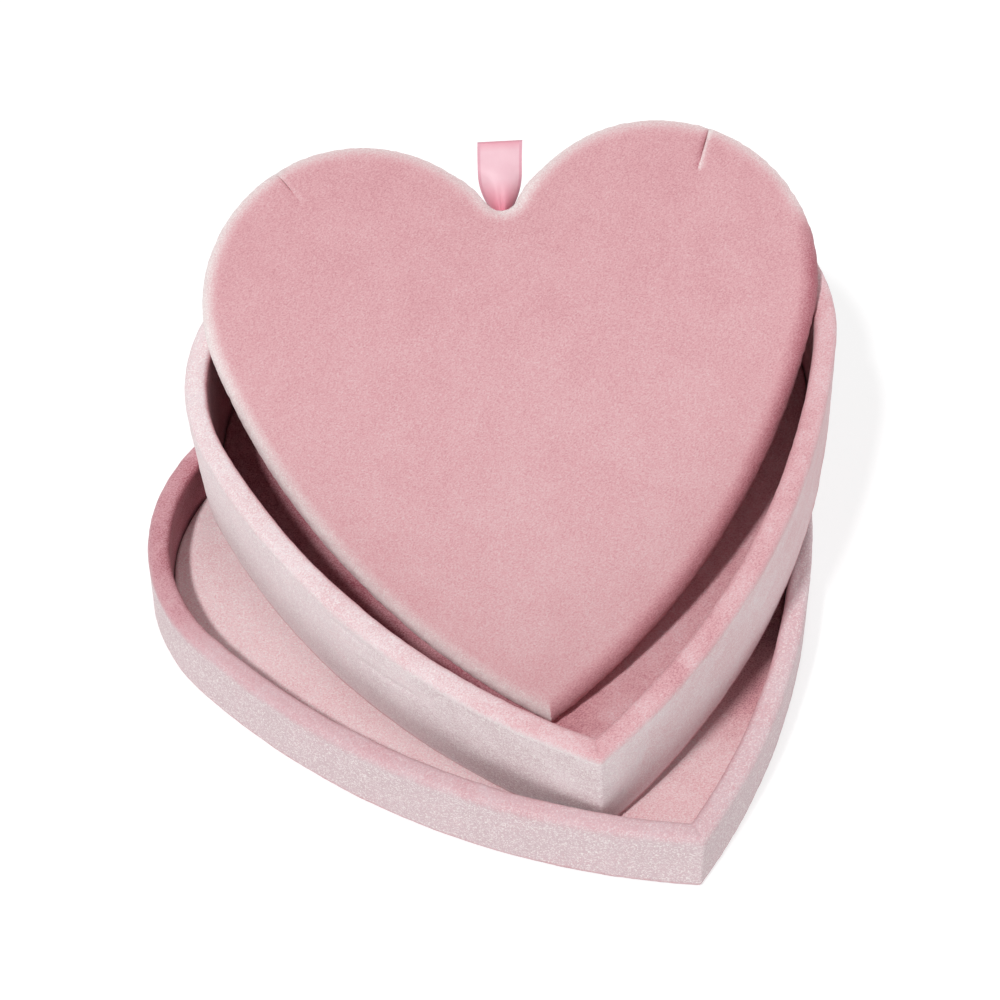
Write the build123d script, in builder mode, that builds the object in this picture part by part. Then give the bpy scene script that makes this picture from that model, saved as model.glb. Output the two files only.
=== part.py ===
"""Heart-shaped velvet gift box: upturned lid, tray leaning in it, and a padded display pad leaning out of the tray."""
import os
from math import acos, atan2, cos, hypot, pi, radians, sin, sqrt, tan

from build123d import *

# Driving dimensions in millimetres and degrees

# Heart outline, measured on the outside of the tray
tray_width = 140.0
cleft_rise = 21.17
side_radius = 157.0
tip_reach = 98.0
corner_round = 0.9

# Sheet materials
velvet = 1.2
turned_velvet = 0.6
wall_board = 2.4
floor_board = 2.0
lining_card = 0.8
paper = 0.4

# Heights of the two halves of the box, outside
lid_height = 17.8
tray_height = 34.6

# Wrapped edges and hems
rim_round = 1.7
base_round = 0.8
hem = 11.0

# Clearances, and how far the pad's soft edge is wider all round than the tray's inside, which it is pressed into
lid_fit = 0.4
lining_fit = 0.2
rest_gap = 0.3
pad_squeeze = 0.65

# Display pad
pad_board = 2.0
pad_foam = 2.9
pad_crown = 0.6
pad_crown_inset = 22.0
pad_edge_round = 4.0
pad_under_round = 1.0
pad_bulge = 2.6
backing_inset = 3.0
slit_angle = 64.0
slit_length = 8.5
slit_width = 0.7
slit_depth = 3.2

# Satin ribbon
ribbon_width = 10.0
ribbon_cloth = 0.3
ribbon_loop = 15.0
ribbon_gape = 1.6
ribbon_pinch = 3.0
ribbon_spread = 8.0
ribbon_rise = 6.0
ribbon_tail_length = 24.0
ribbon_root = 0.45
ribbon_root_gap = 0.35

# How the loose pieces lie: turned about the upright, with the tip so far back from the tip of what holds it, and so
# far from the lid's left rim or from the tray's mid line
tray_turn = -15.8
tray_tip_back = 13.4
tray_tip_gap = 3.93
pad_turn = -5.6
pad_tip_back = 19.7
pad_tip_across = -6.0

# Derived sizes

wall = wall_board + 2 * velvet
lid_inside = lid_fit
lid_outside = lid_inside + wall
lid_floor = velvet + turned_velvet + floor_board + lining_card + velvet
tray_floor = paper + turned_velvet + floor_board + lining_card + velvet
pad_outside = pad_squeeze - wall
pad_board_base = paper + turned_velvet
pad_foam_base = pad_board_base + pad_board
pad_height = pad_foam_base + pad_foam + velvet

# Heart outline: lobe arcs that meet above their centres at the height of the cleft, tangent side arcs, a small round
# at the tip towards -Y, and a cleft towards +Y that is sharp on the outline halfway between tray and lid
lobe_radius = tray_width / 4 + cleft_rise**2 / tray_width
lobe_x = tray_width / 2 - lobe_radius
arc_step = side_radius - lobe_radius
tip_distance = hypot(lobe_x, tip_reach)
join_cosine = (tip_distance**2 + arc_step**2 - side_radius**2) / (2 * arc_step * tip_distance)
join_angle = atan2(tip_reach, lobe_x) - acos(join_cosine)
side_x = lobe_x - arc_step * cos(join_angle)
side_y = -arc_step * sin(join_angle)
crease_grow = lid_fit / 2
crease_angle = acos(-lobe_x / (lobe_radius + crease_grow))
crease_y = (lobe_radius + crease_grow) * sin(crease_angle)


def lobe_point(angle, grow):
    """Point on the right lobe arc of the outline grown outwards by grow."""
    radius = lobe_radius + grow
    return (lobe_x + radius * cos(angle), radius * sin(angle))


def side_point(angle, grow):
    """Point on the right side arc of the outline grown outwards by grow."""
    radius = side_radius + grow
    return (side_x + radius * cos(angle), side_y + radius * sin(angle))


def shoulder_angle(grow):
    """Where the lobe arc ends at the cleft: on the mid line, or beside the round that a smaller outline has there."""
    return crease_angle if grow < crease_grow else acos(-lobe_x / (lobe_radius + grow))


def corner_angle(grow):
    """Where the side arc passes into the round of the tip."""
    return -acos(-side_x / (side_radius + grow - corner_round))


def tip_y(grow):
    """Lowest point of the outline, on the mid line."""
    reach = side_radius + grow - corner_round
    return side_y + reach * sin(corner_angle(grow)) - corner_round


def cleft_y(grow):
    """Bottom of the cleft, on the mid line."""
    return crease_y + grow - crease_grow


def heart(grow, plane):
    """Heart face on a plane, its outline grown outwards by grow."""
    shoulder, corner = shoulder_angle(grow), corner_angle(grow)
    lobe_arc = [lobe_point(angle, grow) for angle in (shoulder, (shoulder + join_angle) / 2, join_angle)]
    side_arc = [side_point(angle, grow) for angle in (join_angle, (join_angle + corner) / 2, corner)]
    with BuildSketch(plane) as face:
        with BuildLine():
            ThreePointArc(*lobe_arc)
            ThreePointArc(*side_arc)
            mirror(about=Plane.YZ)
            x, y = side_arc[-1]
            ThreePointArc((x, y), (0, tip_y(grow)), (-x, y))
            if grow < crease_grow:
                x, y = lobe_arc[0]
                ThreePointArc((x, y), (0, cleft_y(grow)), (-x, y))
        make_face()
    return face.sketch


def hearts(plane, levels):
    """Heart faces at several levels, each given as growth and height above the plane."""
    return [heart(grow, plane.offset(height)) for grow, height in levels]


def quarter(radius_across, radius_up, steps=3):
    """Steps along a quarter round, each as the distance drawn in and the height gained."""
    angles = [pi / 2 * step / steps for step in range(steps + 1)]
    return [(radius_across * (1 - cos(angle)), radius_up * sin(angle)) for angle in angles]


def outline_points(grow, count=300):
    """Evenly spaced points along the lobes, the sides and the cleft of the outline grown by grow."""
    shoulder, corner = shoulder_angle(grow), corner_angle(grow)
    steps = [number / count for number in range(count + 1)]
    right = [lobe_point(shoulder + (join_angle - shoulder) * step, grow) for step in steps]
    right += [side_point(join_angle + (corner - join_angle) * step, grow) for step in steps]
    return right + [(-x, y) for x, y in right] + [(0, cleft_y(min(grow, crease_grow)))]


def distance_outside(x, y, grow):
    """How far a point lies outside the lobes and sides of the outline grown by grow, negative inside."""
    x = abs(x)
    if atan2(y, x - lobe_x) >= join_angle:
        return hypot(x - lobe_x, y) - lobe_radius - grow
    return hypot(x - side_x, y - side_y) - side_radius - grow


def edge_lift(inset, edge):
    """Height of a rounded lower edge above the underside, at a distance in from the outline."""
    across, up, skirt, foot = edge
    if inset < across:
        return skirt + up * (1 - sqrt(1 - (1 - inset / across)**2))
    return skirt if inset < foot else 0


def leaning_plane(turn, tip, outline, edge, rim, floor_height):
    """Underside of a heart that stands with its tip on a floor and leans on a rim, in the frame of what holds it.

    The plane passes through the given place of the tip and the two rim points, one each side, on which the heart comes
    to rest first. Points of the rim beside the tip, where it would lean by more than 45 degrees, carry nothing.
    The lower edge is given by how far it is rounded inwards and upwards, how far the velvet there stays above the
    underside, and how far in the glued-on cover starts.
    """
    across, along = Vector(1, 0, 0).rotate(Axis.Z, turn), Vector(0, 1, 0).rotate(Axis.Z, turn)
    tip_inset, _, tip_lift, _ = edge
    tip_local = tip_y(outline - tip_inset)
    foot = Vector(*tip, floor_height - tip_lift)
    x_dir, y_dir, normal = across, along, Vector(0, 0, 1)
    for _ in range(8):
        left, right = [], []
        for point in rim:
            offset = point - foot
            x = offset.dot(x_dir)
            inset = -distance_outside(x, offset.dot(y_dir) + tip_local, outline)
            if inset > 0 and offset.dot(along) > offset.Z:
                offset -= normal * edge_lift(inset, edge)
                slopes = (offset.dot(across) / offset.Z, offset.dot(along) / offset.Z)
                (left if x < 0 else right).append(slopes)
        one = left[0]
        for _ in range(4):
            other = min(right, key=lambda p: one[1] - one[0] * (p[1] - one[1]) / (p[0] - one[0]))
            one = min(left, key=lambda p: p[1] - p[0] * (other[1] - p[1]) / (other[0] - p[0]))
        area = one[0] * other[1] - other[0] * one[1]
        slope_across = (other[1] - one[1]) / area
        slope_along = (one[0] - other[0]) / area
        y_dir = (along + Vector(0, 0, slope_along)).normalized()
        normal = (Vector(0, 0, 1) - along * slope_along - across * slope_across).normalized()
        x_dir = y_dir.cross(normal)
    return Plane(origin=foot - y_dir * tip_local, x_dir=x_dir, z_dir=normal)


def half_width(y, grow):
    """Half the width of the outline grown by grow, between the lobes and the tip."""
    return side_x + sqrt((side_radius + grow)**2 - (y - side_y)**2)


def rim_points(inner, outer, height):
    """Points all over the rounded top of a wall."""
    points = []
    for drawn, up in quarter(rim_round, rim_round):
        for grow in (inner + drawn, outer - drawn):
            points += [Vector(x, y, height - rim_round + up) for x, y in outline_points(grow)]
    return points


def mid_plane(plane):
    """Plane of symmetry of a piece, facing its right half."""
    return Plane(origin=plane.origin, x_dir=plane.y_dir, z_dir=plane.x_dir)


lid_plane = Plane.XY
tray_edge = (base_round, base_round, paper / 2, velvet)
lid_rim = rim_points(lid_inside, lid_outside, lid_height)
tray_tip_y = tip_y(lid_inside) + tray_tip_back
tray_over = 0
for _ in range(5):
    tray_tip = (tray_tip_gap + tray_over - half_width(tray_tip_y, lid_inside), tray_tip_y)
    tray_seat = leaning_plane(tray_turn, tray_tip, 0, tray_edge, lid_rim, lid_floor)
    tray_over = (lid_height - lid_floor) * tan(radians(Vector(0, 0, 1).get_angle(tray_seat.z_dir)))
tray_plane = tray_seat.offset(rest_gap)
pad_edge = (pad_under_round, pad_bulge, paper, backing_inset)
tray_rim = rim_points(-wall, 0, tray_height)
pad_tip = (pad_tip_across, tip_y(-wall) + pad_tip_back)
pad_seat = leaning_plane(pad_turn, pad_tip, pad_outside, pad_edge, tray_rim, tray_floor)
pad_plane = Plane(tray_plane.location * pad_seat.offset(rest_gap).location)


def wrap_wall(plane, inner, outer, height, cover):
    """Velvet strip of a box half: up the outside, over the rounded rim, down the inside, and hemmed over the cover."""
    board_base = cover + turned_velvet
    start = cover / 2
    outside = [(outer - base_round + base_round * up, start + base_round * across)
               for across, up in quarter(1, 1, 2)]
    outside += [(outer - drawn, height - rim_round + up) for drawn, up in quarter(rim_round, rim_round)]
    inside = [(inner, board_base)]
    inside += [(inner + drawn, height - rim_round + up) for drawn, up in quarter(rim_round, rim_round)]
    loft(hearts(plane, outside), ruled=True)
    loft(hearts(plane, inside), ruled=True, mode=Mode.SUBTRACT)
    skin_inside = outer - velvet
    extrude(heart(skin_inside, plane), amount=cover, mode=Mode.SUBTRACT)
    extrude(heart(outer - hem, plane), amount=board_base, mode=Mode.SUBTRACT)
    extrude(heart(skin_inside, plane.offset(board_base)), amount=floor_board, mode=Mode.SUBTRACT)
    board = heart(skin_inside, plane.offset(board_base)) - heart(inner + velvet, plane.offset(board_base))
    extrude(board, amount=height - velvet - board_base, mode=Mode.SUBTRACT)


def bend_wall_half(plane, inner, outer, height, cover, half):
    """Greyboard strip of one half of a wall, bent round the lobe and run down to the tip."""
    base = plane.offset(cover + turned_velvet)
    board = heart(outer - velvet, base) - heart(inner + velvet, base)
    extrude(board, amount=height - velvet - cover - turned_velvet)
    split(bisect_by=mid_plane(plane), keep=half)


os.makedirs("parts", exist_ok=True)


def keep(name, piece):
    """Labels a finished piece and writes it as a STEP file of that name."""
    piece.label = name
    export_step(piece, f"parts/{name}.step")


# Lid, upside down, its flat outside on the surface

with BuildPart() as lid_top_velvet:
    extrude(heart(lid_outside - velvet, lid_plane), amount=velvet)
keep("lid_top_velvet", lid_top_velvet.part)

with BuildPart() as lid_wall_velvet:
    wrap_wall(lid_plane, lid_inside, lid_outside, lid_height, velvet)
keep("lid_wall_velvet", lid_wall_velvet.part)

with BuildPart() as lid_top_board:
    extrude(heart(lid_inside + velvet, lid_plane.offset(velvet + turned_velvet)), amount=floor_board)
keep("lid_top_board", lid_top_board.part)

with BuildPart() as lid_wall_left:
    bend_wall_half(lid_plane, lid_inside, lid_outside, lid_height, velvet, Keep.BOTTOM)
keep("lid_wall_left", lid_wall_left.part)

with BuildPart() as lid_wall_right:
    bend_wall_half(lid_plane, lid_inside, lid_outside, lid_height, velvet, Keep.TOP)
keep("lid_wall_right", lid_wall_right.part)

lid_card_base = velvet + turned_velvet + floor_board
with BuildPart() as lid_lining_card:
    extrude(heart(lid_inside - lining_fit, lid_plane.offset(lid_card_base)), amount=lining_card)
keep("lid_lining_card", lid_lining_card.part)

with BuildPart() as lid_lining_velvet:
    extrude(heart(lid_inside - lining_fit, lid_plane.offset(lid_card_base + lining_card)), amount=velvet)
keep("lid_lining_velvet", lid_lining_velvet.part)

# Tray, standing with its tip on the lid's lining and leaning on the lid's rim

with BuildPart() as tray_bottom_cover:
    extrude(heart(-velvet, tray_plane), amount=paper)
keep("tray_bottom_cover", tray_bottom_cover.part)

with BuildPart() as tray_wall_velvet:
    wrap_wall(tray_plane, -wall, 0, tray_height, paper)
keep("tray_wall_velvet", tray_wall_velvet.part)

with BuildPart() as tray_floor_board:
    extrude(heart(velvet - wall, tray_plane.offset(paper + turned_velvet)), amount=floor_board)
keep("tray_floor_board", tray_floor_board.part)

with BuildPart() as tray_wall_left:
    bend_wall_half(tray_plane, -wall, 0, tray_height, paper, Keep.BOTTOM)
keep("tray_wall_left", tray_wall_left.part)

with BuildPart() as tray_wall_right:
    bend_wall_half(tray_plane, -wall, 0, tray_height, paper, Keep.TOP)
keep("tray_wall_right", tray_wall_right.part)

tray_card_base = paper + turned_velvet + floor_board
with BuildPart() as tray_lining_card:
    extrude(heart(-wall - lining_fit, tray_plane.offset(tray_card_base)), amount=lining_card)
keep("tray_lining_card", tray_lining_card.part)

with BuildPart() as tray_lining_velvet:
    extrude(heart(-wall - lining_fit, tray_plane.offset(tray_card_base + lining_card)), amount=velvet)
keep("tray_lining_velvet", tray_lining_velvet.part)

# Display pad, standing with its tip on the tray's lining and leaning on the tray's rim

pad_top = pad_plane.offset(pad_height + pad_crown)
slit_centre = lobe_radius + pad_outside - slit_length / 2


def cut_slits():
    """Two short slits, square to the edge of the lobes, that hold a necklace's chain."""
    with BuildSketch(pad_top) as slits:
        for side in (1, -1):
            x, y = (lobe_x + slit_centre * cos(radians(slit_angle)), slit_centre * sin(radians(slit_angle)))
            with Locations(Location((side * x, y), side * slit_angle)):
                Rectangle(slit_length + 2 * slit_width, slit_width)
    extrude(slits.sketch, amount=-slit_depth - pad_crown, mode=Mode.SUBTRACT)


def tail_strip(grow, plane):
    """Outline of the ribbon's glued ends under the pad, from the bottom of the cleft inwards, grown by grow."""
    with BuildSketch(plane) as strip:
        with Locations((0, cleft_y(pad_outside) - ribbon_tail_length)):
            Rectangle(ribbon_width + 2 * grow, ribbon_tail_length + grow, align=(Align.CENTER, Align.MIN))
    return strip.sketch


with BuildPart() as pad_board_heart:
    extrude(heart(pad_outside - velvet, pad_plane.offset(pad_board_base)), amount=pad_board)
keep("pad_board", pad_board_heart.part)

foam_rise = pad_foam - pad_crown
with BuildPart() as pad_foam_heart:
    foam_edge = [(pad_outside - velvet - drawn, pad_foam_base + up)
                 for drawn, up in quarter(pad_edge_round - velvet, foam_rise, 2)]
    foam_crown = [(pad_outside - pad_crown_inset, pad_foam_base + pad_foam)]
    loft(hearts(pad_plane, foam_edge + foam_crown), ruled=True)
    cut_slits()
keep("pad_foam", pad_foam_heart.part)

with BuildPart() as pad_velvet:
    under = [(pad_outside - pad_under_round * (1 - up), paper + pad_bulge * across)
             for across, up in quarter(1, 1, 2)]
    over = [(pad_outside - drawn, paper + pad_bulge + up)
            for drawn, up in quarter(pad_edge_round, pad_height - pad_crown - paper - pad_bulge)]
    crown = [(pad_outside - pad_crown_inset, pad_height)]
    loft(hearts(pad_plane, under + over[1:] + crown), ruled=True)
    add(pad_board_heart.part, mode=Mode.SUBTRACT)
    add(pad_foam_heart.part, mode=Mode.SUBTRACT)
    extrude(heart(pad_outside - hem, pad_plane), amount=pad_board_base, mode=Mode.SUBTRACT)
    extrude(tail_strip(lining_fit, pad_plane), amount=pad_board_base, mode=Mode.SUBTRACT)
    cut_slits()
keep("pad_velvet", pad_velvet.part)

with BuildPart() as pad_backing:
    extrude(heart(pad_outside - backing_inset, pad_plane), amount=paper)
keep("pad_backing", pad_backing.part)

# Satin ribbon: its ends glued under the board, its loop standing out of the cleft

with BuildPart() as ribbon_tail:
    extrude(tail_strip(0, pad_plane.offset(paper)), amount=2 * ribbon_cloth)
keep("ribbon_tail", ribbon_tail.part)

root_place = (0, cleft_y(pad_outside) + ribbon_root_gap + ribbon_root, paper + ribbon_cloth)
root_plane = Plane(pad_plane.location * Location(root_place))
ribbon_plane = Plane(root_plane.location * Location((0, 0, 0), (ribbon_rise, 0, 0)))
loop_plane = mid_plane(ribbon_plane)
with BuildPart() as ribbon_tab:
    with BuildSketch(loop_plane):
        with BuildLine():
            front = ThreePointArc((0, 0), (ribbon_loop / 2, ribbon_gape / 2), (ribbon_loop, 0))
            mirror(front, about=Plane.XZ)
        make_face()
        offset(amount=-ribbon_cloth, mode=Mode.SUBTRACT)
        Circle(ribbon_root)
    extrude(amount=ribbon_width / 2, both=True)
    with BuildSketch(ribbon_plane) as spread:
        with BuildLine():
            Polyline((0, -ribbon_root), (ribbon_pinch / 2, -ribbon_root), (ribbon_pinch / 2, ribbon_root),
                     (ribbon_width / 2, ribbon_spread), (ribbon_width / 2, ribbon_loop), (0, ribbon_loop))
            mirror(about=Plane.YZ)
        make_face()
    extrude(spread.sketch, amount=ribbon_gape, both=True, mode=Mode.INTERSECT)
keep("ribbon_tab", ribbon_tab.part)

tray_lean = Vector(0, 0, 1).get_angle(tray_plane.z_dir)
pad_lean = tray_plane.z_dir.get_angle(pad_plane.z_dir)
print(f"tray leans {tray_lean:.2f} degrees in the lid, pad leans {pad_lean:.2f} degrees in the tray")
print("ribbon root at", root_plane.origin, "along", root_plane.x_dir)
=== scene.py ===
from math import acos, atan2, cos, exp, hypot, pi, radians, sin, sqrt

import bpy
from mathutils import Matrix, Vector
from mathutils.geometry import delaunay_2d_cdt


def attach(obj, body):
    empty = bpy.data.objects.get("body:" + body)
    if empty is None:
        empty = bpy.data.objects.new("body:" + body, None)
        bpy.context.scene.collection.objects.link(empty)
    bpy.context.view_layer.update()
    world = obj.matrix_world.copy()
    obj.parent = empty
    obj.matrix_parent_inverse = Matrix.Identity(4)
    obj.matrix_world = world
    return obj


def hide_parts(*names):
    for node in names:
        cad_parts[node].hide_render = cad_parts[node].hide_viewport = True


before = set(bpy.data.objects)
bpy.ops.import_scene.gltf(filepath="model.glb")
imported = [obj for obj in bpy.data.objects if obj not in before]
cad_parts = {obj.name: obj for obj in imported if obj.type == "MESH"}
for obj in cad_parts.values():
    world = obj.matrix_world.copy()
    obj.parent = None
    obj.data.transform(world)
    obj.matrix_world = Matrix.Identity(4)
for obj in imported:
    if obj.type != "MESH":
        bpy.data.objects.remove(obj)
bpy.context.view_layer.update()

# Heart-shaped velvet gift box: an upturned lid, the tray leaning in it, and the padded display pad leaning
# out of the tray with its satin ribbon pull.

scene = bpy.context.scene
mm = 0.001


# Camera
# A long lens that looks down on the box from its front left, as for a catalogue picture.
# It stands about 0.7 m away, so the hearts keep their shape.

eye = Vector((-194.8, -404.4, 566.9)) * mm
aim = Vector((4.3, -2.1, 12.1)) * mm
bpy.ops.object.select_all(action="DESELECT")
bpy.ops.object.camera_add(location=eye, rotation=(aim - eye).to_track_quat("-Z", "Y").to_euler())
scene.camera = bpy.context.object
scene.camera.data.sensor_width = 36
scene.camera.data.lens = 115.84


# Greyboard of lid, tray and pad
# Heart-shaped plates and bent wall strips of solid grey board, die-cut and glued edge to edge.
# All of it is wrapped, so the board shows only where a cover is lifted.

def srgb(code):
    """Linear colour of an sRGB hex value."""
    parts = [int(code[place:place + 2], 16) / 255 for place in (1, 3, 5)]
    return [part / 12.92 if part <= 0.04045 else ((part + 0.055) / 1.055)**2.4 for part in parts] + [1.0]


def node(tree, kind, values=None, links=None, **settings):
    """Adds a node with its settings, the values of its inputs and the sockets linked to them."""
    added = tree.nodes.new(kind)
    for name, value in settings.items():
        setattr(added, name, value)
    for name, value in (values or {}).items():
        added.inputs[name].default_value = value
    for name, socket in (links or {}).items():
        tree.links.new(socket, added.inputs[name])
    return added


def new_material(name, values):
    """A material named for what it is, with fixed values on its shader."""
    material = bpy.data.materials.new(name)
    material.use_nodes = True
    shader = material.node_tree.nodes["Principled BSDF"]
    for socket, value in values.items():
        shader.inputs[socket].default_value = value
    return material, material.node_tree, shader


def dress(names, material):
    """Gives a material to pieces that keep their CAD shape."""
    for name in names:
        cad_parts[name].data.materials.clear()
        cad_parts[name].data.materials.append(material)


# Grey chipboard: pressed waste paper, matt, with soft flecks and a faint fibre relief.
fleck_width = 1.5 * mm
greyboard, tree, shader = new_material("greyboard", {"Roughness": 0.92, "Specular IOR Level": 0.2})
place = node(tree, "ShaderNodeTexCoord").outputs["Object"]
fleck = node(tree, "ShaderNodeTexNoise", {"Scale": 1 / fleck_width, "Detail": 6.0, "Roughness": 0.65},
             {"Vector": place})
tone = node(tree, "ShaderNodeValToRGB", links={"Fac": fleck.outputs["Fac"]})
tone.color_ramp.elements[0].color = srgb("#857E75")
tone.color_ramp.elements[0].position = 0.3
tone.color_ramp.elements[1].color = srgb("#A59E93")
tone.color_ramp.elements[1].position = 0.7
relief = node(tree, "ShaderNodeBump", {"Strength": 0.3, "Distance": 0.1 * mm},
              {"Height": fleck.outputs["Fac"]})
tree.links.new(tone.outputs["Color"], shader.inputs["Base Color"])
tree.links.new(relief.outputs["Normal"], shader.inputs["Normal"])
dress(("lid_top_board", "lid_wall_left", "lid_wall_right", "tray_floor_board", "tray_wall_left",
       "tray_wall_right", "pad_board"), greyboard)


# Lining cards of lid and tray
# Thin card hearts that carry the lining velvet. Each is dropped in on top of the board,
# with the velvet glued over it.

# White-lined card: smooth and matt, with a faint cloud in its tone.
cloud_width = 4 * mm
card, tree, shader = new_material("lining card", {"Roughness": 0.85, "Specular IOR Level": 0.25})
place = node(tree, "ShaderNodeTexCoord").outputs["Object"]
cloud = node(tree, "ShaderNodeTexNoise", {"Scale": 1 / cloud_width, "Detail": 4.0}, {"Vector": place})
tone = node(tree, "ShaderNodeValToRGB", links={"Fac": cloud.outputs["Fac"]})
tone.color_ramp.elements[0].color = srgb("#D3CEC4")
tone.color_ramp.elements[1].color = srgb("#E2DED6")
tree.links.new(tone.outputs["Color"], shader.inputs["Base Color"])
dress(("lid_lining_card", "tray_lining_card"), card)


# Paper hearts under tray and pad
# Heart-shaped pink cover paper, glued over the turned-in velvet, so that the underside is clean
# and the hem is held down.

# Dyed cover paper: matt, with fine fibres drawn longer than they are so that they show.
fibre_length = 0.8 * mm
paper, tree, shader = new_material("cover paper", {"Roughness": 0.8, "Specular IOR Level": 0.3})
place = node(tree, "ShaderNodeTexCoord").outputs["Object"]
fibre = node(tree, "ShaderNodeTexNoise", {"Scale": 1 / fibre_length, "Detail": 5.0, "Roughness": 0.7},
             {"Vector": place})
tone = node(tree, "ShaderNodeValToRGB", links={"Fac": fibre.outputs["Fac"]})
tone.color_ramp.elements[0].color = srgb("#D5A3AB")
tone.color_ramp.elements[0].position = 0.3
tone.color_ramp.elements[1].color = srgb("#E3B9BF")
tone.color_ramp.elements[1].position = 0.7
relief = node(tree, "ShaderNodeBump", {"Strength": 0.15, "Distance": 0.05 * mm},
              {"Height": fibre.outputs["Fac"]})
tree.links.new(tone.outputs["Color"], shader.inputs["Base Color"])
tree.links.new(relief.outputs["Normal"], shader.inputs["Normal"])
dress(("tray_bottom_cover", "pad_backing"), paper)


# Lid wall velvet
# One strip of short-pile velvet round the lid: glued up the outside, over the rounded rim and down the
# inside, with its lower edge turned in under the board.

# Heart outline in millimetres, on the outside of the tray: lobe arcs, tangent side arcs, a small round at
# the tip, and a cleft that is sharp on the lid and rounded on the smaller outlines inside it.
tray_width = 140.0
cleft_rise = 21.17
side_radius = 157.0
tip_reach = 98.0
corner_round = 0.9
crease_grow = 0.2
lobe_radius = tray_width / 4 + cleft_rise**2 / tray_width
lobe_x = tray_width / 2 - lobe_radius
arc_step = side_radius - lobe_radius
tip_distance = hypot(lobe_x, tip_reach)
join_angle = atan2(tip_reach, lobe_x) - acos((tip_distance**2 + arc_step**2 - side_radius**2)
                                             / (2 * arc_step * tip_distance))
side_x = lobe_x - arc_step * cos(join_angle)
side_y = -arc_step * sin(join_angle)
crease_angle = acos(-lobe_x / (lobe_radius + crease_grow))
crease_y = (lobe_radius + crease_grow) * sin(crease_angle)


def heart_ring(grow, pitch):
    """Points round the heart outline grown by grow, clockwise from the cleft, about pitch apart."""
    side_sweep = 0.72
    corner_steps = 3
    shoulder = acos(-lobe_x / (lobe_radius + grow)) if grow > crease_grow else crease_angle
    reach = side_radius + grow - corner_round
    corner = -acos(-side_x / reach)
    lobe_count = round(lobe_radius * (crease_angle - join_angle) / pitch)
    side_count = round(side_sweep * side_radius / pitch)
    right = []
    for step in range(lobe_count):
        angle = shoulder + (join_angle - shoulder) * step / lobe_count
        right.append((lobe_x + (lobe_radius + grow) * cos(angle), (lobe_radius + grow) * sin(angle)))
    for step in range(side_count + 1):
        angle = join_angle + (corner - join_angle) * step / side_count
        right.append((side_x + (side_radius + grow) * cos(angle),
                      side_y + (side_radius + grow) * sin(angle)))
    left = [(-x, y) for x, y in reversed(right)]
    tip_y = side_y + reach * sin(corner)
    tip_turns = [(pi / 2 + corner) * (1 - step / corner_steps) for step in range(1, 2 * corner_steps)]
    tip = [(corner_round * sin(turn), tip_y - corner_round * cos(turn)) for turn in tip_turns]
    cleft_radius = max(0.0, crease_grow - grow)
    opening = crease_angle - pi / 2
    cleft_turns = [opening * (step / corner_steps - 1) for step in range(1, 2 * corner_steps)]
    cleft = [(cleft_radius * sin(turn), right[0][1] + cleft_radius * (cos(opening) - cos(turn)))
             for turn in cleft_turns]
    return right + tip + left + cleft


def inset_from(x, y, grow):
    """How far a point lies inside the heart outline grown by grow."""
    x = abs(x)
    bearing = atan2(y, x - lobe_x)
    if bearing > crease_angle:
        return hypot(x, y - crease_y) - (crease_grow - grow)
    if bearing >= join_angle:
        return lobe_radius + grow - hypot(x - lobe_x, y)
    return side_radius + grow - hypot(x - side_x, y - side_y)


def outward(x, y):
    """Direction across the outline at a point, away from the heart."""
    centre = (lobe_x, 0) if atan2(y, abs(x) - lobe_x) >= join_angle else (side_x, side_y)
    off_x = abs(x) - centre[0]
    off_y = y - centre[1]
    far = hypot(off_x, off_y)
    return (off_x if x > 0 else -off_x) / far, off_y / far


def resample(profile, pitch):
    """Points about pitch apart along a profile given as corner points."""
    points = [profile[0]]
    for (x0, y0), (x1, y1) in zip(profile, profile[1:]):
        count = max(1, round(hypot(x1 - x0, y1 - y0) / pitch))
        for step in range(1, count + 1):
            points.append((x0 + (x1 - x0) * step / count, y0 + (y1 - y0) * step / count))
    return points


def quarter(start, end, bulge_first, steps=6):
    """Quarter ellipse between two points, leaving the first one along the profile's first or second axis."""
    turns = [pi / 2 * step / steps for step in range(steps + 1)]
    (x0, y0), (x1, y1) = start, end
    if bulge_first:
        return [(x0 + (x1 - x0) * sin(turn), y0 + (y1 - y0) * (1 - cos(turn))) for turn in turns]
    return [(x0 + (x1 - x0) * (1 - cos(turn)), y0 + (y1 - y0) * sin(turn)) for turn in turns]


def add_piece(name, points, faces, to_box):
    """A smooth mesh piece from points in millimetres, put where it belongs in the box."""
    mesh = bpy.data.meshes.new(name)
    mesh.from_pydata([to_box @ Vector(point) for point in points], [], faces)
    mesh.shade_smooth()
    piece = bpy.data.objects.new(name, mesh)
    scene.collection.objects.link(piece)
    bpy.ops.object.select_all(action="DESELECT")
    bpy.context.view_layer.objects.active = piece
    piece.select_set(True)
    return piece


def loft(rings):
    """Points and faces of a strip through closed rings, facing outwards where they climb on the outside."""
    count = len(rings[0])
    points = [point for ring in rings for point in ring]
    faces = []
    for row in range(len(rings) - 1):
        for place in range(count):
            after = (place + 1) % count
            faces.append((row * count + place, (row + 1) * count + place,
                          (row + 1) * count + after, row * count + after))
    return points, faces


def ruffle(piece, depth, width, seed, group=""):
    """Stirs the active piece, or a group of its points, by bumps of a depth and width in millimetres."""
    grain = bpy.data.textures.new(f"{piece.name} {seed}", "CLOUDS")
    grain.noise_scale = width * mm
    grain.noise_depth = 1
    bpy.ops.object.modifier_add(type="DISPLACE")
    displace = piece.modifiers[-1]
    displace.texture = grain
    displace.texture_coords = "LOCAL"
    displace.strength = 2 * depth * mm
    displace.mid_level = 0.5
    displace.vertex_group = group
    bpy.ops.object.modifier_apply(modifier=displace.name)


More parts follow.
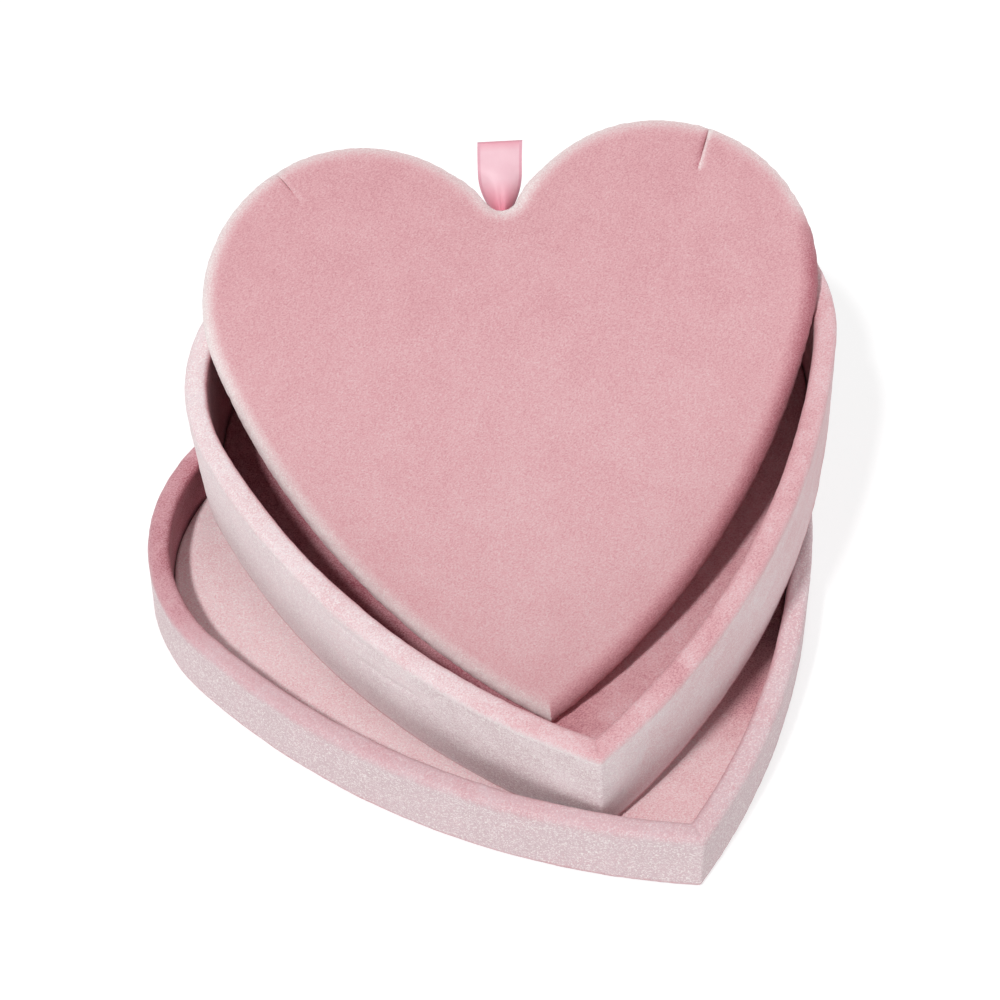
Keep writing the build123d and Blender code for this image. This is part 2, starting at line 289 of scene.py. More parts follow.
def paint_light(piece, to_box, painted_tone):
    """Marks each point's painted sheen, light and shade, from 0 for deep shade to 1 for pale sheen, as the
    given function gives it for a place.
    """
    marks = piece.data.attributes.new("painted_light", "FLOAT", "POINT")
    back = to_box.inverted()
    for point, mark in zip(piece.data.vertices, marks.data):
        mark.value = painted_tone(back @ point.co)


def velvet(name, dusty, pale, mottle, tufts, turn=0.0):
    """Short-pile polyester velvet in dusty pink.

    The colour follows each piece's mark of painted sheen, light and shade: pale where the pile is seen from
    the side or faces the key light, deep pink where it faces the eye, darker in painted shade. Brushed
    patches and the tufts stir it. Real tufts are about 0.15 mm wide, and are drawn wider so that they show.
    Where the mark is pale, single fibres have painted glints, white specks in the colour.
    """
    patch_width = 10 * mm
    tuft_width = 0.24 * mm
    fibre_width = 0.25 * mm
    noise_span = {"From Min": 0.25, "From Max": 0.75}
    material, tree, shader = new_material(name, {
        "Roughness": 0.9, "Specular IOR Level": 0.1, "Sheen Weight": 0.25, "Sheen Roughness": 0.5,
        "Sheen Tint": srgb("#FFF4F3")})
    place = node(tree, "ShaderNodeTexCoord").outputs["Object"]
    painted_tone = node(tree, "ShaderNodeAttribute", attribute_name="painted_light")
    woven = node(tree, "ShaderNodeMapping", {"Rotation": (0, 0, turn), "Scale": (0.6, 1.0, 1.0)},
                 {"Vector": place})
    tuft = node(tree, "ShaderNodeTexNoise", {"Scale": 1 / tuft_width, "Detail": 2.0, "Roughness": 0.6},
                {"Vector": woven.outputs["Vector"]})
    patch = node(tree, "ShaderNodeTexNoise",
                 {"Scale": 1 / patch_width, "Detail": 6.0, "Roughness": 0.68, "Distortion": 0.5},
                 {"Vector": place})
    fibre = node(tree, "ShaderNodeTexVoronoi", {"Scale": 1 / fibre_width}, {"Vector": place})
    fibre_tone = node(tree, "ShaderNodeSeparateColor", links={"Color": fibre.outputs["Color"]})
    stirred = node(tree, "ShaderNodeMapRange", {**noise_span, "To Min": -mottle, "To Max": mottle},
                   {"Value": patch.outputs["Fac"]})
    tufted = node(tree, "ShaderNodeMapRange", {**noise_span, "To Min": -tufts, "To Max": tufts},
                  {"Value": tuft.outputs["Fac"]})
    stir = node(tree, "ShaderNodeMath", links={0: stirred.outputs["Result"], 1: tufted.outputs["Result"]})
    stirred_tone = node(tree, "ShaderNodeMath", links={0: painted_tone.outputs["Fac"], 1: stir.outputs["Value"]})
    # The ramp runs from a painted deep shade through the dusty pink to a pale painted sheen, a little greyer
    # at its top.
    dye_and_light = node(tree, "ShaderNodeValToRGB", links={"Fac": stirred_tone.outputs["Value"]})
    dye_and_light.color_ramp.elements[0].color = srgb("#8C4651")
    dye_and_light.color_ramp.elements[1].color = srgb("#D0B8BC")
    dye_and_light.color_ramp.elements.new(0.16).color = srgb("#A95F6B")
    dye_and_light.color_ramp.elements.new(0.45).color = srgb(dusty)
    dye_and_light.color_ramp.elements.new(0.8).color = srgb(pale)
    # Painted glints: fibre cells turn to white specks in the colour where the mark is pale.
    spark = node(tree, "ShaderNodeMapRange", {"From Min": 0.55, "From Max": 1.0, "To Max": 0.75},
                 {"Value": fibre_tone.outputs["Red"]})
    sheen_share = node(tree, "ShaderNodeMapRange", {"From Min": 0.5, "From Max": 0.8},
                 {"Value": painted_tone.outputs["Fac"]})
    painted_glint = node(tree, "ShaderNodeMath", links={0: spark.outputs["Result"], 1: sheen_share.outputs["Result"]},
                   operation="MULTIPLY")
    lit = node(tree, "ShaderNodeMix", {"B": srgb("#FFFBF8")}, {"Factor": painted_glint.outputs["Value"]},
               data_type="RGBA")
    tree.links.new(dye_and_light.outputs["Color"], lit.inputs["A"])
    relief = node(tree, "ShaderNodeBump", {"Strength": 0.6, "Distance": 0.2 * mm},
                  {"Height": tuft.outputs["Fac"]})
    tree.links.new(lit.outputs["Result"], shader.inputs["Base Color"])
    tree.links.new(relief.outputs["Normal"], shader.inputs["Normal"])
    return material


velvet_hem = 11.0


def wrap_profile(inner, outer, height, cover):
    """Section of a wrapped wall as growth and height: hem, lower edge, outside, rounded rim and inside."""
    rim_round = 1.7
    base_round = 0.8
    low = cover / 2
    hem_height = cover + 0.3
    hem_bend = 1.6
    hem_foot = 1.1
    inside_foot = cover + 2.2
    row_pitch = 0.75
    section = [(outer - velvet_hem, hem_height), (outer - hem_bend, hem_height), (outer - hem_foot, low)]
    section += quarter((outer - base_round, low), (outer, low + base_round), True)
    section += quarter((outer, height - rim_round), (outer - rim_round, height), False)
    section += quarter((inner + rim_round, height), (inner, height - rim_round), True)
    section += [(inner, inside_foot)]
    return resample(section, row_pitch)


ring_pitch = 0.62


def wrap_wall(name, inner, outer, height, cover, to_box):
    """The velvet strip of one half of the box."""
    rings = [[(x, y, z) for x, y in heart_ring(grow, ring_pitch)]
             for grow, z in wrap_profile(inner, outer, height, cover)]
    points, faces = loft(rings)
    piece = add_piece(name, points, faces, to_box)
    bpy.ops.object.mode_set(mode="EDIT")
    bpy.ops.mesh.select_all(action="SELECT")
    bpy.ops.mesh.remove_doubles(threshold=0.01 * mm)
    bpy.ops.object.mode_set(mode="OBJECT")
    ruffle(piece, depth=0.16, width=16, seed=1)
    ruffle(piece, depth=0.09, width=2.6, seed=2)
    ruffle(piece, depth=0.03, width=0.9, seed=3)
    return piece


def ease(low, high, value):
    """Smooth step from 0 at low to 1 at high."""
    share = min(1.0, max(0.0, (value - low) / (high - low)))
    return share * share * (3 - 2 * share)


def wall_painted_light(inner, outer, height, outside, rim, inside):
    """Painted sheen and shade on a wrapped wall; outside, rim and inside give it for a direction from the
    middle.

    It turns from the sides' tone to the rim's near the top, and has painted shade along the foot.
    """
    turn_inside = 1.5
    turn_outside = 3.4
    turn_end = 0.1
    foot_low = 0.6
    foot_high = 2.2
    foot_shade = 0.45

    def painted_tone(point):
        far = hypot(point.x, point.y)
        right, back = point.x / far, point.y / far
        within = inset_from(point.x, point.y, outer) > (outer - inner) / 2
        if within:
            side = inside(right, back)
            over = ease(height - turn_inside, height, point.z)
        else:
            side = outside(right, back)
            over = ease(height - turn_outside, height - turn_end, point.z)
        # Painted shade along the foot of the wall.
        foot_shading = 1 - ease(foot_low, foot_high, point.z)
        return side + (rim(right, back) - side) * over - foot_shade * foot_shading
    return painted_tone


def crease(piece, to_box, start, end, depth, width):
    """Presses a soft crease between two points into the surface, with its measures in millimetres."""
    start, end = to_box @ Vector(start), to_box @ Vector(end)
    run = end - start
    faded = 3
    pressed = []
    for point in piece.data.vertices:
        share = min(1.0, max(0.0, (point.co - start).dot(run) / run.length_squared))
        off = (point.co - start - run * share).length / (width * mm)
        if off < faded:
            pressed.append((point, point.co - point.normal * (depth * mm * exp(-off * off))))
    for point, place in pressed:
        point.co = place


lid_inside = 0.4
lid_outside = 5.2
lid_height = 17.8
velvet_cloth = 1.2
# The lid's velvet is a greyer, darker copy of the same pink, toned down as painted shade.
lid_velvet = velvet("pink velvet of the lid", "#D2A0A7", "#D8C1C6", mottle=0.14, tufts=0.19)
lid_place = Matrix.Scale(mm, 4)
lid_wall = wrap_wall("lid_wall_velvet_cloth", lid_inside, lid_outside, lid_height, velvet_cloth, lid_place)
# Painted sheen and shade: the outside pale as pile seen from the side, a touch greyer on the left; the rim
# deeper pink towards the back left; the inside deep in painted shade on the left, lighter on the right.
paint_light(lid_wall, lid_place, wall_painted_light(
    lid_inside, lid_outside, lid_height,
    outside=lambda right, back: 0.82 - 0.04 * right,
    rim=lambda right, back: 0.64 + 0.06 * right - 0.24 * ease(-0.3, 0.2, back) * ease(0.1, 0.8, -right),
    inside=lambda right, back: 0.26 + 0.2 * right))
crease(lid_wall, lid_place, (0, -97.5, lid_height), (0, -104, lid_height), depth=0.3, width=0.35)
lid_wall.data.materials.append(lid_velvet)
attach(lid_wall, "lid")
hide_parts("lid_wall_velvet")


# Lid panel and lid lining
# Velvet hearts: the panel is glued to the outside of the top board and lies on the table here, the lining
# is glued to its card and dropped in between the walls.

def fill_heart(grow, pitch, insets, keep_off=None, extra=()):
    """Points and triangles that fill a heart: rings at some insets, and staggered rows inside them."""
    row_spread = 1.6
    row_rise = 0.866
    margin = 10
    outline = heart_ring(grow, pitch)
    points = [Vector(point) for point in outline]
    border = [(place, (place + 1) % len(points)) for place in range(len(points))]
    for inset in insets:
        points += [Vector(point) for point in heart_ring(grow - inset, pitch)
                   if inset_from(*point, grow) > inset - 0.05 and not (keep_off and keep_off(*point))]
    edge = insets[-1] + 0.7 * pitch * row_spread
    step = pitch * row_spread
    reach = tray_width / 2 + margin
    row = 0
    y = -tip_reach - margin
    while y < reach:
        x = -reach + (row % 2) * step / 2
        while x < reach:
            if inset_from(x, y, grow) > edge and not (keep_off and keep_off(x, y)):
                points.append(Vector((x, y)))
            x += step
        y += step * row_rise
        row += 1
    points += [Vector(point) for point in extra]
    corners, _, triangles, _, _, _ = delaunay_2d_cdt(points, border, [], 1, 1e-5)
    return len(outline), corners, triangles


def lay_heart(name, grow, height, edge, side, to_box):
    """A flat velvet heart with its cut edge rounded off; side is 1 for a face that looks up, -1 for down."""
    _, corners, triangles = fill_heart(grow, pitch=1.0, insets=[0.25, 0.6, 1.1])
    points = []
    for corner in corners:
        inset = min(1.0, max(0.0, inset_from(corner.x, corner.y, grow)) / edge)
        drop = edge * (1 - sqrt(1 - (1 - inset)**2))
        points.append((corner.x, corner.y, height - side * drop))
    faces = [triangle if side > 0 else triangle[::-1] for triangle in triangles]
    piece = add_piece(name, points, faces, to_box)
    ruffle(piece, depth=0.1, width=12, seed=1)
    ruffle(piece, depth=0.03, width=0.9, seed=2)
    return piece


lid_lining = lay_heart("lid_lining_velvet_cloth", grow=0.2, height=5.8, edge=0.8, side=1, to_box=lid_place)
# Painted shade: the lining turns deep pink on its right towards the back, under the tray where the tray
# shades it, and a little deeper towards the tip.
paint_light(lid_lining, lid_place, lambda point: 0.72 - 0.08 * ease(-60, -85, point.y)
      - 0.34 * ease(4, 34, point.x) * ease(-86, -62, point.y))
# The lining's velvet is a paler copy of the same pink, toned up as painted light.
lining_velvet = velvet("pink velvet of the lid lining", "#E3ADB3", "#F6DDDF", mottle=0.12, tufts=0.24)
lid_lining.data.materials.append(lining_velvet)
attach(lid_lining, "lid")
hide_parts("lid_lining_velvet")

lid_panel = lay_heart("lid_top_velvet_cloth", grow=4.0, height=0.15, edge=0.9, side=-1, to_box=lid_place)
paint_light(lid_panel, lid_place, lambda point: 0.55)
lid_panel.data.materials.append(lid_velvet)
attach(lid_panel, "lid")
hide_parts("lid_top_velvet")


# Tray wall velvet and tray lining
# The deep half is wrapped as the lid is, with its hem turned in under the floor board.
# It stands with its tip on the lid's lining and leans on the lid's rim.

def stand(origin, across, upright):
    """Where a leaning piece stands: its origin in millimetres, and its directions across and upright."""
    across, upright = Vector(across).normalized(), Vector(upright).normalized()
    along = upright.cross(across)
    turn = Matrix((across, along, upright)).transposed().to_4x4()
    return Matrix.Scale(mm, 4) @ Matrix.Translation(origin) @ turn


tray_inside = -4.8
tray_outside = 0.0
tray_height = 34.6
cover_paper = 0.4
tray_place = stand((12.9452, 7.1579, 20.9704), across=(0.956899, -0.282083, 0.069096),
                   upright=(-0.109556, -0.130268, 0.985407))
tray_velvet = velvet("pink velvet of the tray", "#DBA6AC", "#EDDDE0", mottle=0.11, tufts=0.18)
tray_wall = wrap_wall("tray_wall_velvet_cloth", tray_inside, tray_outside, tray_height, cover_paper,
                      tray_place)
# Painted sheen, light and shade: the outside pale, palest on the left and at the tip where the key light
# falls, deeper on the shaded right; the rim paler towards the back and on the left; the inside in painted
# shade, deepest on the left.
paint_light(tray_wall, tray_place, wall_painted_light(
    tray_inside, tray_outside, tray_height,
    outside=lambda right, back: (0.74 - 0.15 * max(right, -0.5)
                                 + 0.16 * ease(-0.85, -0.98, back) * ease(0.06, -0.02, right)),
    rim=lambda right, back: 0.54 + 0.08 * back + 0.18 * ease(0.2, -0.4, right),
    inside=lambda right, back: 0.28 + 0.1 * right))
# A mitre over the rim at the tip, and three creases where the glued strip has pulled on its left side.
crease(tray_wall, tray_place, (0, -91.5, tray_height), (0, -97.6, tray_height), depth=0.35, width=0.35)
crease(tray_wall, tray_place, (-60.3, -31.5, 31.4), (-55, -41.8, 31.0), depth=0.4, width=0.9)
crease(tray_wall, tray_place, (-43.2, -59.3, 20.5), (-32.6, -71.8, 22.5), depth=0.35, width=1.1)
crease(tray_wall, tray_place, (-47.4, -53.7, 29.5), (-41, -62.5, 30.5), depth=0.3, width=0.8)
tray_wall.data.materials.append(tray_velvet)
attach(tray_wall, "tray")
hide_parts("tray_wall_velvet")

tray_lining = lay_heart("tray_lining_velvet_cloth", grow=-5.0, height=5.0, edge=0.8, side=1,
                        to_box=tray_place)
# Painted shade: the lining is deeper pink on its left, in the shaded gap under the pad.
paint_light(tray_lining, tray_place, lambda point: 0.28 + 0.18 * ease(-20, 10, point.x))
tray_lining.data.materials.append(tray_velvet)
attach(tray_lining, "tray")
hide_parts("tray_lining_velvet")


# Display pad
# Foam on a heart of board, with velvet drawn over both and turned under, and two short slits that hold a
# chain. It stands with its tip on the tray's lining and leans on the tray's rim.

pad_outside = -4.15
pad_height = 7.1
pad_crown = 0.6
pad_crown_inset = 22.0
pad_edge_round = 4.0
pad_bulge = 2.6
pad_under_round = 1.0
pad_widest = cover_paper + pad_bulge
pad_place = stand((14.8735, 14.416, 58.7788), across=(0.924993, -0.375569, 0.057762),
                  upright=(-0.230274, -0.43312, 0.871425))

# Each slit runs in from the edge of a lobe: outer end, inner end, half its width, its depth and the step
# at its lips.
slits = [((-46.5, 28.0), (-43.2, 23.1), 0.16, 0.6, 0.12),
         ((45.7, 30.4), (42.9, 22.9), 0.2, 0.9, 0.42)]
# A point is beside a slit between these shares of its length, and close rows of points fill the pad there
# between the next two, out to a distance from the cut.
beside_from = -0.6
beside_to = 1.25
rows_from = -0.5
rows_to = 1.2
rows_reach = 1.7


def slit_near(x, y):
    """Places a point beside the nearest slit: share along it, distance across it, and the slit."""
    found = None
    for outer, inner, half, depth, step in slits:
        run = Vector(inner) - Vector(outer)
        offset = Vector((x, y)) - Vector(outer)
        share = offset.dot(run) / run.length_squared
        across = (run.x * offset.y - run.y * offset.x) / run.length
        if beside_from < share < beside_to and (found is None or abs(across) < abs(found[1])):
            found = (share, across, half, depth, step)
    return found


def pad_top(x, y):
    """Height of the pad's upper side above its underside."""
    inset = max(0.0, inset_from(x, y, pad_outside))
    rise = pad_height - pad_crown - pad_widest
    edge = min(1.0, inset / pad_edge_round)
    crown = min(1.0, max(0.0, (inset - pad_edge_round) / (pad_crown_inset - pad_edge_round)))
    height = pad_widest + rise * sqrt(1 - (1 - edge)**2) + pad_crown * crown * (2 - crown)
    beside = slit_near(x, y)
    if beside:
        # The slit narrows to its inner end and is open only along its outer part, with one lip raised.
        share, across, half, depth, step = beside
        lip_width = 2.6
        low_lip = 0.8
        narrowing = 0.25
        open_end = 0.8
        closing = 0.35
        finest = 0.02
        ends = min(1.0, max(0.0, (1.0 - share) / narrowing))
        cut = max(0.0, 1 - abs(across) / max(half * ends, finest))
        lip = max(0.0, 1 - abs(across) / lip_width) * ends
        open_share = min(1.0, max(0.0, (open_end - share) / closing))
        lifted = (step if across > 0 else -low_lip * step) * lip**2
        height += lifted - depth * open_share * cut * min(1.0, edge * 1.5)
    return height


slit_steps = 29
slit_points = []
for outer, inner, half, _, _ in slits:
    run = Vector(inner) - Vector(outer)
    square = Vector((-run.y, run.x)).normalized()
    for number in range(-3, slit_steps + 5):
        for across in (0.0, 0.45 * half, 0.9 * half, 1.1 * half, half + 0.35, half + 0.8, half + 1.4):
            for side in (1, -1) if across else (1,):
                point = Vector(outer) + run * (number / slit_steps) + square * across * side
                if inset_from(*point, pad_outside) > 0.12:
                    slit_points.append(point)


def off_slit(x, y):
    """Whether a point lies in the strip that the points beside a slit fill."""
    beside = slit_near(x, y)
    if not beside:
        return False
    share, across, half, _, _ = beside
    return rows_from < share < rows_to and abs(across) < half + rows_reach


def fuller(x, y):
    """Moves a point of the pad out where the velvet is bunched beside the cleft."""
    bunch_depth = 0.5
    bunch_place = 5.6
    bunch_width = 3.2
    bunch = bunch_depth * exp(-((abs(x) - bunch_place) / bunch_width)**2) * ease(8, 15, y)
    bunch *= 1 - ease(0, 9, inset_from(x, y, pad_outside))
    right, back = outward(x, y)
    return x + right * bunch, y + back * bunch


pad_edge_rings = [0.05, 0.2, 0.45, 0.8, 1.25, 1.8, 2.4, 3.1, 3.8, 4.6]
count, corners, triangles = fill_heart(pad_outside, ring_pitch, pad_edge_rings, off_slit, slit_points)
pad_hem_height = 0.7
pad_hem_bend = 2.2
under = [(pad_outside - velvet_hem, pad_hem_height), (pad_outside - pad_hem_bend, pad_hem_height)]
under += quarter((pad_outside - pad_under_round, cover_paper), (pad_outside, pad_widest), True)
rings = [[(*fuller(x, y), z) for x, y in heart_ring(grow, ring_pitch)]
         for grow, z in resample(under, pitch=0.7)]
strip_points, strip_faces = loft(rings)
first = len(strip_points)
last_ring = first - count
points = strip_points + [(*fuller(*corner), pad_top(*corner)) for corner in corners[count:]]
faces = strip_faces + [[last_ring + place if place < count else first + place - count for place in triangle]
                       for triangle in triangles]
pad = add_piece("pad_velvet_cloth", points, faces, pad_place)
ruffle(pad, depth=0.14, width=22, seed=1)
ruffle(pad, depth=0.03, width=0.9, seed=2)
pad_edge = pad.vertex_groups.new(name="edge")
pad_back = pad_place.inverted()
ruffled_to = 0.5
smooth_from = 3.0
for point in pad.data.vertices:
    at = pad_back @ point.co
    inset = inset_from(at.x, at.y, pad_outside)
    pad_edge.add([point.index], 1 - ease(ruffled_to, smooth_from, inset), "REPLACE")
ruffle(pad, depth=0.16, width=1.5, seed=3, group="edge")


def pad_painted_light(point):
    """Painted light on the pad: even on top with painted shade growing a little towards its lobes, painted
    sheen and light on its left and back edges, and painted shade on its right edge.
    """
    inset = inset_from(point.x, point.y, pad_outside)
    right, back = outward(point.x, point.y)
    shaded_side = max(0.0, right) * ease(0.45, -0.1, back)
    lit_side = (0.26 + 0.12 * max(0.0, -right)) * (1 - ease(0.0, 0.5, shaded_side))
    top = 0.45 - 0.0008 * point.y
    painted_tone = top - 0.3 * (1 - ease(0.0, 5.0, inset)) * shaded_side
    painted_tone += lit_side * (1 - ease(-0.5, 4.2, inset))
    # Painted highlight on the raised lip of each slit, painted shade on its low lip.
    beside = slit_near(point.x, point.y)
    if beside and beside[0] < 1.15:
        _, across, _, _, step = beside
        lip_light_width = 0.9
        tallest_step = 0.42
        near = exp(-(across / lip_light_width)**2) * step / tallest_step
        painted_tone += near * (0.22 if across > 0 else -0.12)
    return painted_tone


paint_light(pad, pad_place, pad_painted_light)
pad_velvet = velvet("pink velvet of the pad", "#D8A3A9", "#EFE2E1", mottle=0.03, tufts=0.13,
                    turn=radians(-22))
pad.data.materials.append(pad_velvet)
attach(pad, "pad")
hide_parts("pad_velvet", "pad_foam")


# Ribbon pull
# A loop of single-face satin ribbon: its two ends are glued under the pad's board, and the loop stands out
# of the cleft, pinched where it leaves.

# Polyester satin: long floats that shine along the ribbon, and two selvedges that are woven closer.
# The ribbon's map is in millimetres. Its picks and floats are too fine to show one by one in the render,
# where they only soften the tone of the selvedges and the gloss.
ribbon_width = 10.0
ribbon_cloth = 0.3
ribbon_loop = 15.0
selvedge_width = 0.75
selvedge_blur = 0.2
tone_width = 2.5
bands_per_unit = 20 / (2 * pi)
pick_spacing = 0.1571
float_spacing = 0.1428
satin, tree, shader = new_material("pink satin", {
    "Roughness": 0.42, "Specular IOR Level": 0.35, "Anisotropic": 0.5, "Sheen Weight": 0.1,
    "Sheen Roughness": 0.4})
flat_place = node(tree, "ShaderNodeUVMap", uv_map="ribbon").outputs["UV"]
split = node(tree, "ShaderNodeSeparateXYZ", links={"Vector": flat_place})
picks = node(tree, "ShaderNodeTexWave",
             {"Scale": 1 / (bands_per_unit * pick_spacing), "Distortion": 0.4, "Detail": 1.0},
             {"Vector": flat_place}, bands_direction="Y")
middle = node(tree, "ShaderNodeMath", {1: ribbon_width / 2}, {0: split.outputs["X"]}, operation="SUBTRACT")
off_middle = node(tree, "ShaderNodeMath", links={0: middle.outputs["Value"]}, operation="ABSOLUTE")
selvedge_start = ribbon_width / 2 - selvedge_width
selvedge = node(tree, "ShaderNodeMapRange",
                {"From Min": selvedge_start, "From Max": selvedge_start + selvedge_blur},
                {"Value": off_middle.outputs["Value"]})
cloudy = node(tree, "ShaderNodeTexNoise", {"Scale": 1 / tone_width, "Detail": 2.0}, {"Vector": flat_place})
body_tone = node(tree, "ShaderNodeValToRGB", links={"Fac": cloudy.outputs["Fac"]})
body_tone.color_ramp.elements[0].color = srgb("#E4B4C0")
body_tone.color_ramp.elements[1].color = srgb("#EBC3CC")
# Painted shade: the satin turns deeper pink towards its root, where it is pinched in the cleft, and a little
# towards the fold at the loop's end.
from_fold = node(tree, "ShaderNodeMath", {1: ribbon_loop}, {0: split.outputs["Y"]}, operation="SUBTRACT")
off_fold = node(tree, "ShaderNodeMath", links={0: from_fold.outputs["Value"]}, operation="ABSOLUTE")
fold_share = node(tree, "ShaderNodeMath", {1: ribbon_loop}, {0: off_fold.outputs["Value"]},
                  operation="DIVIDE")
painted_shade_tone = node(tree, "ShaderNodeValToRGB", links={"Fac": fold_share.outputs["Value"]})
painted_shade_tone.color_ramp.elements[0].color = srgb("#F4C0CC")
painted_shade_tone.color_ramp.elements[1].color = srgb("#FFA6BC")
painted_shade_tone.color_ramp.elements.new(0.14).color = srgb("#FFFFFF")
painted_shade_tone.color_ramp.elements.new(0.55).color = srgb("#FFFFFF")
toned = node(tree, "ShaderNodeMix", {"Factor": 0.75}, data_type="RGBA", blend_type="MULTIPLY")
tree.links.new(body_tone.outputs["Color"], toned.inputs["A"])
tree.links.new(painted_shade_tone.outputs["Color"], toned.inputs["B"])
edge_tone = node(tree, "ShaderNodeValToRGB", links={"Fac": picks.outputs["Fac"]})
edge_tone.color_ramp.elements[0].color = srgb("#CF8498")
edge_tone.color_ramp.elements[1].color = srgb("#E8B9C5")
dyed = node(tree, "ShaderNodeMix", links={"Factor": selvedge.outputs["Result"]}, data_type="RGBA")
tree.links.new(toned.outputs["Result"], dyed.inputs["A"])
tree.links.new(edge_tone.outputs["Color"], dyed.inputs["B"])
float_wave = node(tree, "ShaderNodeTexWave",
                  {"Scale": 1 / (bands_per_unit * float_spacing), "Distortion": 0.3},
                  {"Vector": flat_place}, bands_direction="Y")
relief = node(tree, "ShaderNodeBump", {"Strength": 0.12, "Distance": 0.05 * mm},
              {"Height": float_wave.outputs["Fac"]})
tree.links.new(dyed.outputs["Result"], shader.inputs["Base Color"])
tree.links.new(relief.outputs["Normal"], shader.inputs["Normal"])


def weave_strip(name, rows, to_box):
    """A ribbon from rows of points across it, with its flat measures in millimetres as its map."""
    across = len(rows[0])
    points = [point for row in rows for point in row]
    faces = []
    for row in range(len(rows) - 1):
        for place in range(across - 1):
            faces.append((row * across + place, row * across + place + 1,
                          (row + 1) * across + place + 1, (row + 1) * across + place))
    piece = add_piece(name, points, faces, to_box)
    runs = [0.0]
    for before, after in zip(rows, rows[1:]):
        runs.append(runs[-1] + (Vector(after[across // 2]) - Vector(before[across // 2])).length)
    flat_map = piece.data.uv_layers.new(name="ribbon")
    for loop in piece.data.loops:
        row, place = divmod(loop.vertex_index, across)
        flat_map.data[loop.index].uv = (ribbon_width * place / (across - 1), runs[row])
    return piece


half_points = 12


def ribbon_row(share, side):
    """Points across one layer of the loop, at a share of its length from the root, on its front or back.

    The ribbon is narrow and folded at the root, flares to its full width, and its edges curl back.
    """
    root_width = 3.6
    flare = 5.7
    flare_end = 0.55
    end_flare = 0.4
    open_middle = 0.55
    layer_gap = 0.12
    root_curl = 3.0
    curl_end = 0.75
    root_fold = 0.5
    fold_width = 0.16
    fold_end = 0.5
    sideways = 0.9
    droop = 0.2
    spread = min(1.0, share / flare_end)
    width = root_width + flare * spread * (2 - spread) + end_flare * share
    gape = open_middle * sin(pi * share**0.8) + layer_gap
    curl = root_curl * (1 - ease(0.0, curl_end, share))
    row = []
    for step in range(2 * half_points + 1):
        across = step / half_points - 1
        fold = root_fold * (1 - ease(0.0, fold_end, share)) * exp(-(across / fold_width)**2)
        row.append((width / 2 * across + sideways * share * share,
                    ribbon_loop * share - droop * across * share,
                    side * gape - curl * across * across - fold))
    return row


ribbon_place = stand((20.1466, 28.8439, 68.1466), across=(0.924993, -0.375569, 0.057762),
                     upright=(-0.260608, -0.516394, 0.815734))
loop_steps = 28
loop_rows = [ribbon_row(step / loop_steps, 1) for step in range(loop_steps + 1)]
loop_rows += [ribbon_row(step / loop_steps, -1) for step in range(loop_steps, -1, -1)]
ribbon = weave_strip("ribbon_loop_satin", loop_rows, ribbon_place)
ribbon.data.materials.append(satin)
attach(ribbon, "ribbon")
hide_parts("ribbon_tab")

tail_length = 24.0
tail_steps = 24
tail_points = 12
cleft_low = crease_y + pad_outside - crease_grow
tail_rows = []
for run in range(tail_steps + 1):
    along = cleft_low - tail_length * (1 - run / tail_steps)
    tail_rows.append([(ribbon_width * (step / tail_points - 0.5), along, cover_paper + ribbon_cloth)
                      for step in range(tail_points + 1)])
tail = weave_strip("ribbon_ends_satin", tail_rows, pad_place)
tail.data.materials.append(satin)
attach(tail, "pad")
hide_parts("ribbon_tail")


# Table, key light and surrounding light
# A white sweep under one lamp from high on the left front, with soft light from all round that is stronger
# low down and on the right, as from a white card there.

bpy.ops.object.select_all(action="DESELECT")
bpy.ops.mesh.primitive_plane_add(size=6)
table = bpy.context.object
table.name = "table"
table_white = bpy.data.materials.new("white table")
table_white.use_nodes = True
tree = table_white.node_tree
tree.nodes.clear()


def plain_view(tree):
    """One for rays that show the backdrop: straight from the camera, or by way of gloss or glass."""
    path = node(tree, "ShaderNodeLightPath")
    gloss = node(tree, "ShaderNodeMath", operation="MAXIMUM",
                 links={0: path.outputs["Is Camera Ray"], 1: path.outputs["Is Glossy Ray"]})
    glass = node(tree, "ShaderNodeMath", operation="MAXIMUM",
                 links={0: gloss.outputs["Value"], 1: path.outputs["Is Transmission Ray"]})
    return glass.outputs["Value"]


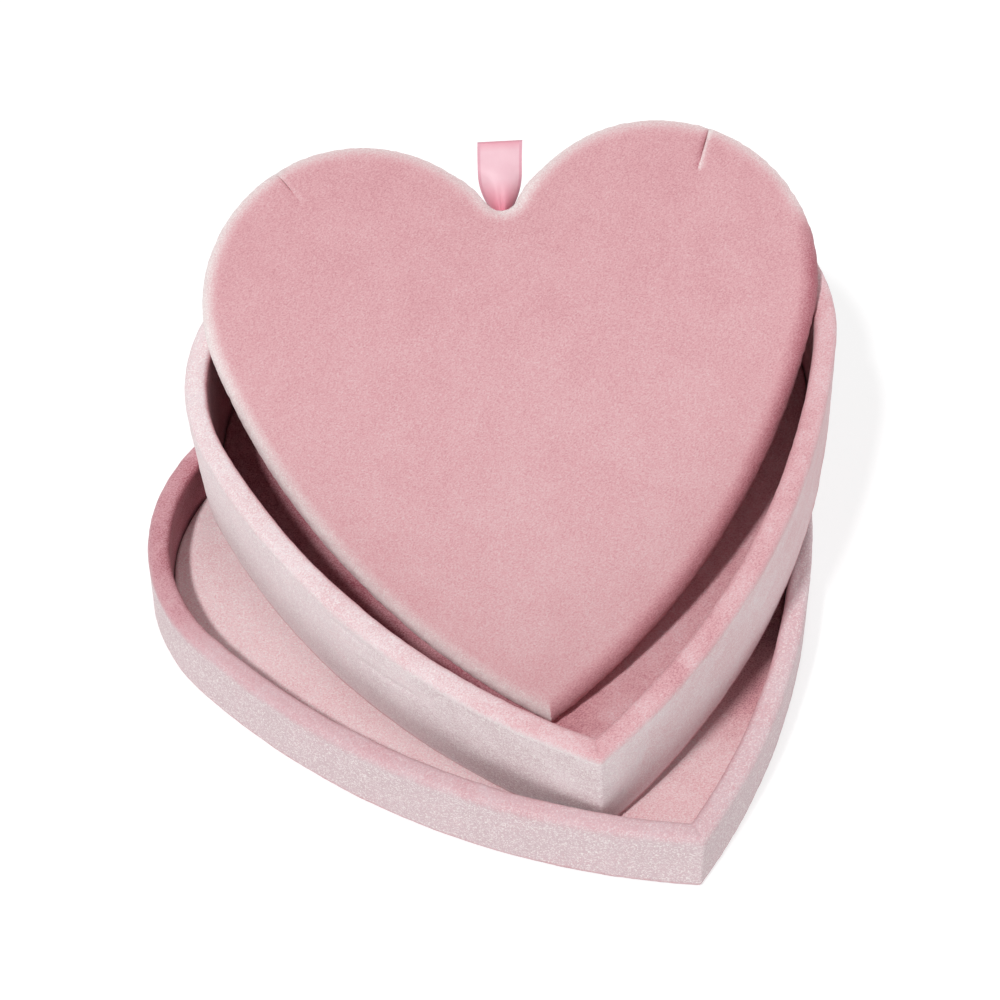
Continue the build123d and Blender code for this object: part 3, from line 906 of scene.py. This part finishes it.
# Seen by the camera, the table is white with a soft shadow. The light it throws back is a plain white's.
seen = node(tree, "ShaderNodeBsdfDiffuse", {"Color": srgb("#A2A2A2")})
glow = node(tree, "ShaderNodeEmission", {"Color": srgb("#FFFFFF"), "Strength": 0.73})
both = node(tree, "ShaderNodeAddShader", links={0: seen.outputs["BSDF"], 1: glow.outputs["Emission"]})
plain = node(tree, "ShaderNodeBsdfDiffuse", {"Color": srgb("#E7E7E7")})
shown = node(tree, "ShaderNodeMixShader",
             links={0: plain_view(tree), 1: plain.outputs["BSDF"], 2: both.outputs["Shader"]})
node(tree, "ShaderNodeOutputMaterial", links={"Surface": shown.outputs["Shader"]})
table.data.materials.append(table_white)

key_bearing = radians(210)
key_height = radians(60)
to_key = Vector((cos(key_height) * cos(key_bearing), cos(key_height) * sin(key_bearing), sin(key_height)))
bpy.ops.object.light_add(type="SUN", location=to_key, rotation=to_key.to_track_quat("Z", "Y").to_euler())
key = bpy.context.object
key.data.energy = 1.95
key.data.angle = radians(5)

level_light = 0.92
overhead_light = 0.3
right_light = 0.24
world = bpy.data.worlds.new("studio")
scene.world = world
world.use_nodes = True
tree = world.node_tree
tree.nodes.clear()
direction = node(tree, "ShaderNodeTexCoord").outputs["Generated"]
bearing = node(tree, "ShaderNodeSeparateXYZ", links={"Vector": direction})
paler = node(tree, "ShaderNodeMapRange", {"To Min": level_light, "To Max": overhead_light},
             {"Value": bearing.outputs["Z"]})
filled = node(tree, "ShaderNodeMath", {1: right_light}, {0: bearing.outputs["X"], 2: paler.outputs["Result"]},
              operation="MULTIPLY_ADD")
around = node(tree, "ShaderNodeBackground", {"Color": srgb("#FFFFFF")}, {"Strength": filled.outputs["Value"]})
backdrop = node(tree, "ShaderNodeBackground", {"Color": srgb("#FFFFFF"), "Strength": 1.0})
shown = node(tree, "ShaderNodeMixShader",
             links={0: plain_view(tree), 1: around.outputs["Background"], 2: backdrop.outputs["Background"]})
node(tree, "ShaderNodeOutputWorld", links={"Surface": shown.outputs["Shader"]})

scene.view_settings.view_transform = "Standard"
